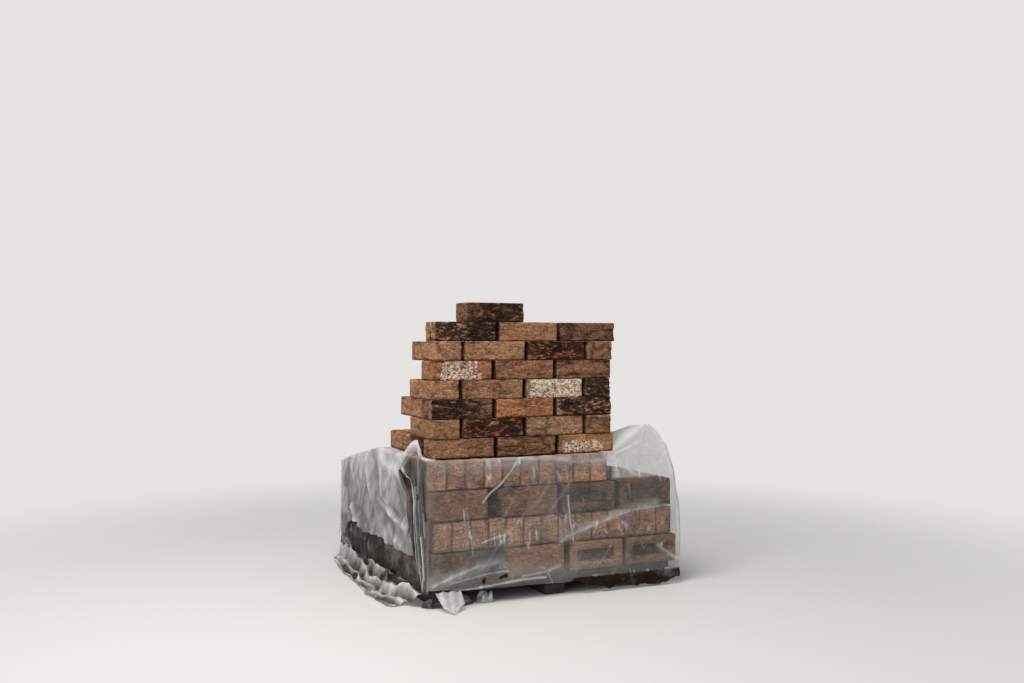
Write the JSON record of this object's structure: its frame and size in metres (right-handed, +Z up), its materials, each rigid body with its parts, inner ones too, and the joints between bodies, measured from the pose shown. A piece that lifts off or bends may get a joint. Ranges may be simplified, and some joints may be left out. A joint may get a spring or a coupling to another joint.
{
  "type": "pallet of bricks",
  "caption": "Part-used pack of frogged facing bricks on edge in a torn shrink hood on a low timber pallet, with flat display courses stacked on top.",
  "frame": {"origin": "middle of the pallet's underside, on the ground, in the middle of the centre bearer's lower face", "axes": "+Z up; X along the front of the pack with +X to the right; +Y from the front to the back"},
  "size_m": [1.1003, 1.102, 1.0217],
  "materials": {
    "fired_clay": "rough handmade fired clay, from orange brown to burnt black",
    "sawn_timber": "sawn softwood, damp and dirty",
    "clear_film": "creased clear polythene with dust on it"
  },
  "bodies": {
    "root": {"bearers": "sawn_timber", "deck_boards": "sawn_timber", "layer_1_bricks": "fired_clay", "layer_2_bricks": "fired_clay", "layer_3_bricks": "fired_clay", "layer_4_bricks": "fired_clay", "course_1_bricks": "fired_clay", "course_2_bricks": "fired_clay", "course_3_bricks": "fired_clay", "course_4_bricks": "fired_clay", "course_5_bricks": "fired_clay", "course_6_bricks": "fired_clay", "course_7_bricks": "fired_clay", "top_brick": "fired_clay", "loose_brick": "fired_clay", "shrink_hood": "clear_film"}
  },
  "joints": []
}
